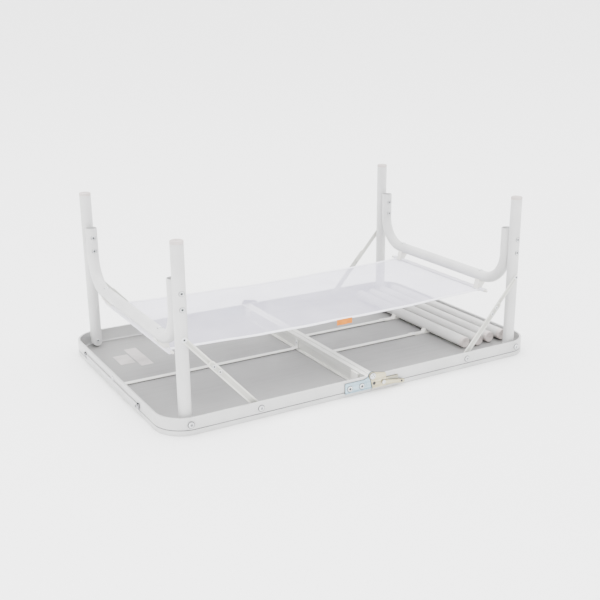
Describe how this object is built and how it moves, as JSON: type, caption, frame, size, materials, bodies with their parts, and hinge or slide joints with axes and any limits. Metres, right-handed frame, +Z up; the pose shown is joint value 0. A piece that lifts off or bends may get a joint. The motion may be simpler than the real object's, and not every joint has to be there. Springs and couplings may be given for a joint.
{
  "type": "folding camp table",
  "caption": "Folding camp table lying on its top: two rimmed halves on a mid fold, inward-folding leg frames with jointed stays, a stretched mesh shelf and stored leg extensions.",
  "frame": {"origin": "under the middle of the fold, on the plane that the rims rest on with the table upside down", "axes": "+X along the length towards the half that stores the extension tubes, +Y across towards the back rim, +Z up, which is towards the legs' feet"},
  "size_m": [0.9033, 0.5942, 0.366],
  "materials": {
    "painted_rim": "white powder coat, satin",
    "painted_tube": "white powder coat, satin",
    "panel": "grey coated fibreboard",
    "rail": "satin",
    "white_plastic": "matte",
    "cap_plastic": "matte",
    "zinc_plate": "zinc plated",
    "zinc_yellow": "yellow zinc plated",
    "rivet_steel": "satin",
    "white_mesh": "sheer woven mesh",
    "handle_plastic": "matte"
  },
  "bodies": {
    "left_half": {"fold_pin_back": "rivet_steel", "fold_pin_front": "rivet_steel", "left_hinge_leaf_back": "zinc_plate", "left_hinge_leaf_front": "zinc_plate", "left_leg_rivet_back": "rivet_steel", "left_leg_rivet_front": "rivet_steel", "left_panel": "panel", "left_rail": "rail", "left_rib": "white_plastic", "left_rim": "painted_rim", "left_stay_rivet_back": "rivet_steel", "left_stay_rivet_front": "rivet_steel"},
    "right_half": {"right_hinge_leaf_back": "zinc_yellow", "right_hinge_leaf_front": "zinc_yellow", "right_leg_rivet_back": "rivet_steel", "right_leg_rivet_front": "rivet_steel", "right_panel": "panel", "right_rail": "rail", "right_rib_back": "white_plastic", "right_rib_front": "white_plastic", "right_rim": "painted_rim", "right_stay_rivet_back": "rivet_steel", "right_stay_rivet_front": "rivet_steel", "tube_clip_back": "white_plastic", "tube_clip_front": "white_plastic"},
    "extension_1": {"extension_foot_1": "cap_plastic", "extension_tube_1": "painted_tube"},
    "extension_2": {"extension_foot_2": "cap_plastic", "extension_tube_2": "painted_tube"},
    "extension_3": {"extension_foot_3": "cap_plastic", "extension_tube_3": "painted_tube"},
    "extension_4": {"extension_foot_4": "cap_plastic", "extension_tube_4": "painted_tube"},
    "left_leg_frame": {"left_leg_back": "painted_tube", "left_leg_bar": "painted_tube", "left_leg_cap_back": "cap_plastic", "left_leg_cap_front": "cap_plastic", "left_leg_front": "painted_tube", "left_shelf_rod": "white_plastic", "mesh_shelf": "white_mesh"},
    "left_lower_stay_front_link": {"left_lower_stay_front": "painted_tube"},
    "left_upper_stay_front_link": {"left_upper_stay_front": "painted_tube"},
    "left_lower_stay_back_link": {"left_lower_stay_back": "painted_tube"},
    "left_upper_stay_back_link": {"left_upper_stay_back": "painted_tube"},
    "right_leg_frame": {"right_leg_back": "painted_tube", "right_leg_bar": "painted_tube", "right_leg_cap_back": "cap_plastic", "right_leg_cap_front": "cap_plastic", "right_leg_front": "painted_tube", "right_shelf_rod": "white_plastic"},
    "right_lower_stay_front_link": {"right_lower_stay_front": "painted_tube"},
    "right_upper_stay_front_link": {"right_upper_stay_front": "painted_tube"},
    "right_lower_stay_back_link": {"right_lower_stay_back": "painted_tube"},
    "right_upper_stay_back_link": {"right_upper_stay_back": "painted_tube"},
    "lock_lever_front_body": {"lock_lever_front": "zinc_yellow"},
    "lock_lever_back_body": {"lock_lever_back": "zinc_yellow"},
    "handle": {"carry_handle": "handle_plastic"}
  },
  "joints": [
    {"name": "table_fold", "type": "hinge", "parent": "left_half", "child": "right_half", "pos_m": [0, 0, 0.0355], "axis": [0, -1, 0], "range_deg": [0, 95], "deforming": ["mesh_shelf"]},
    {"name": "left_legs_fold", "type": "hinge", "parent": "left_half", "child": "left_leg_frame", "pos_m": [-0.4, 0, 0.0215], "axis": [0, 1, 0], "range_deg": [0, 90], "deforming": ["mesh_shelf"]},
    {"name": "left_lower_stay_front_turn", "type": "hinge", "parent": "left_half", "child": "left_lower_stay_front_link", "pos_m": [-0.255, -0.2775, 0.0215], "axis": [0, 1, 0], "range_deg": [0, 132.03]},
    {"name": "left_upper_stay_front_turn", "type": "hinge", "parent": "left_leg_frame", "child": "left_upper_stay_front_link", "pos_m": [-0.4, -0.2775, 0.1835], "axis": [0, 1, 0], "range_deg": [-138.37, 0]},
    {"name": "left_lower_stay_back_turn", "type": "hinge", "parent": "left_half", "child": "left_lower_stay_back_link", "pos_m": [-0.255, 0.2775, 0.0215], "axis": [0, 1, 0], "range_deg": [0, 132.03]},
    {"name": "left_upper_stay_back_turn", "type": "hinge", "parent": "left_leg_frame", "child": "left_upper_stay_back_link", "pos_m": [-0.4, 0.2775, 0.1835], "axis": [0, 1, 0], "range_deg": [-138.37, 0]},
    {"name": "right_legs_fold", "type": "hinge", "parent": "right_half", "child": "right_leg_frame", "pos_m": [0.4, 0, 0.0215], "axis": [0, -1, 0], "range_deg": [0, 90], "deforming": ["mesh_shelf"]},
    {"name": "right_lower_stay_front_turn", "type": "hinge", "parent": "right_half", "child": "right_lower_stay_front_link", "pos_m": [0.255, -0.2775, 0.0215], "axis": [0, -1, 0], "range_deg": [0, 132.03]},
    {"name": "right_upper_stay_front_turn", "type": "hinge", "parent": "right_leg_frame", "child": "right_upper_stay_front_link", "pos_m": [0.4, -0.2775, 0.1835], "axis": [0, -1, 0], "range_deg": [-138.37, 0]},
    {"name": "right_lower_stay_back_turn", "type": "hinge", "parent": "right_half", "child": "right_lower_stay_back_link", "pos_m": [0.255, 0.2775, 0.0215], "axis": [0, -1, 0], "range_deg": [0, 132.03]},
    {"name": "right_upper_stay_back_turn", "type": "hinge", "parent": "right_leg_frame", "child": "right_upper_stay_back_link", "pos_m": [0.4, 0.2775, 0.1835], "axis": [0, -1, 0], "range_deg": [-138.37, 0]},
    {"name": "lock_lever_front_lift", "type": "hinge", "parent": "right_half", "child": "lock_lever_front_body", "pos_m": [0.027, -0.296, 0.018], "axis": [0, -1, 0], "range_deg": [0, 25]},
    {"name": "lock_lever_back_lift", "type": "hinge", "parent": "right_half", "child": "lock_lever_back_body", "pos_m": [0.027, 0.296, 0.018], "axis": [0, -1, 0], "range_deg": [0, 25]},
    {"name": "handle_swing", "type": "hinge", "parent": "left_half", "child": "handle", "pos_m": [-0.4503, 0.014, 0.0215], "axis": [0, 1, 0], "range_deg": [0, 90]},
    {"name": "extension_1_lift", "type": "slide", "parent": "right_half", "child": "extension_1", "axis": [-0.1961, 0, 0.9806], "range_m": [0, 0.08]},
    {"name": "extension_2_lift", "type": "slide", "parent": "right_half", "child": "extension_2", "axis": [-0.1961, 0, 0.9806], "range_m": [0, 0.08]},
    {"name": "extension_3_lift", "type": "slide", "parent": "right_half", "child": "extension_3", "axis": [-0.1961, 0, 0.9806], "range_m": [0, 0.08]},
    {"name": "extension_4_lift", "type": "slide", "parent": "right_half", "child": "extension_4", "axis": [-0.1961, 0, 0.9806], "range_m": [0, 0.08]}
  ],
  "couplings": [
    {"joint": "left_lower_stay_front_turn", "follows": "left_legs_fold", "ratio": 1.4648},
    {"joint": "left_upper_stay_front_turn", "follows": "left_legs_fold", "ratio": -1.5352},
    {"joint": "left_lower_stay_back_turn", "follows": "left_legs_fold", "ratio": 1.4648},
    {"joint": "left_upper_stay_back_turn", "follows": "left_legs_fold", "ratio": -1.5352},
    {"joint": "right_lower_stay_front_turn", "follows": "right_legs_fold", "ratio": 1.4648},
    {"joint": "right_upper_stay_front_turn", "follows": "right_legs_fold", "ratio": -1.5352},
    {"joint": "right_lower_stay_back_turn", "follows": "right_legs_fold", "ratio": 1.4648},
    {"joint": "right_upper_stay_back_turn", "follows": "right_legs_fold", "ratio": -1.5352}
  ]
}
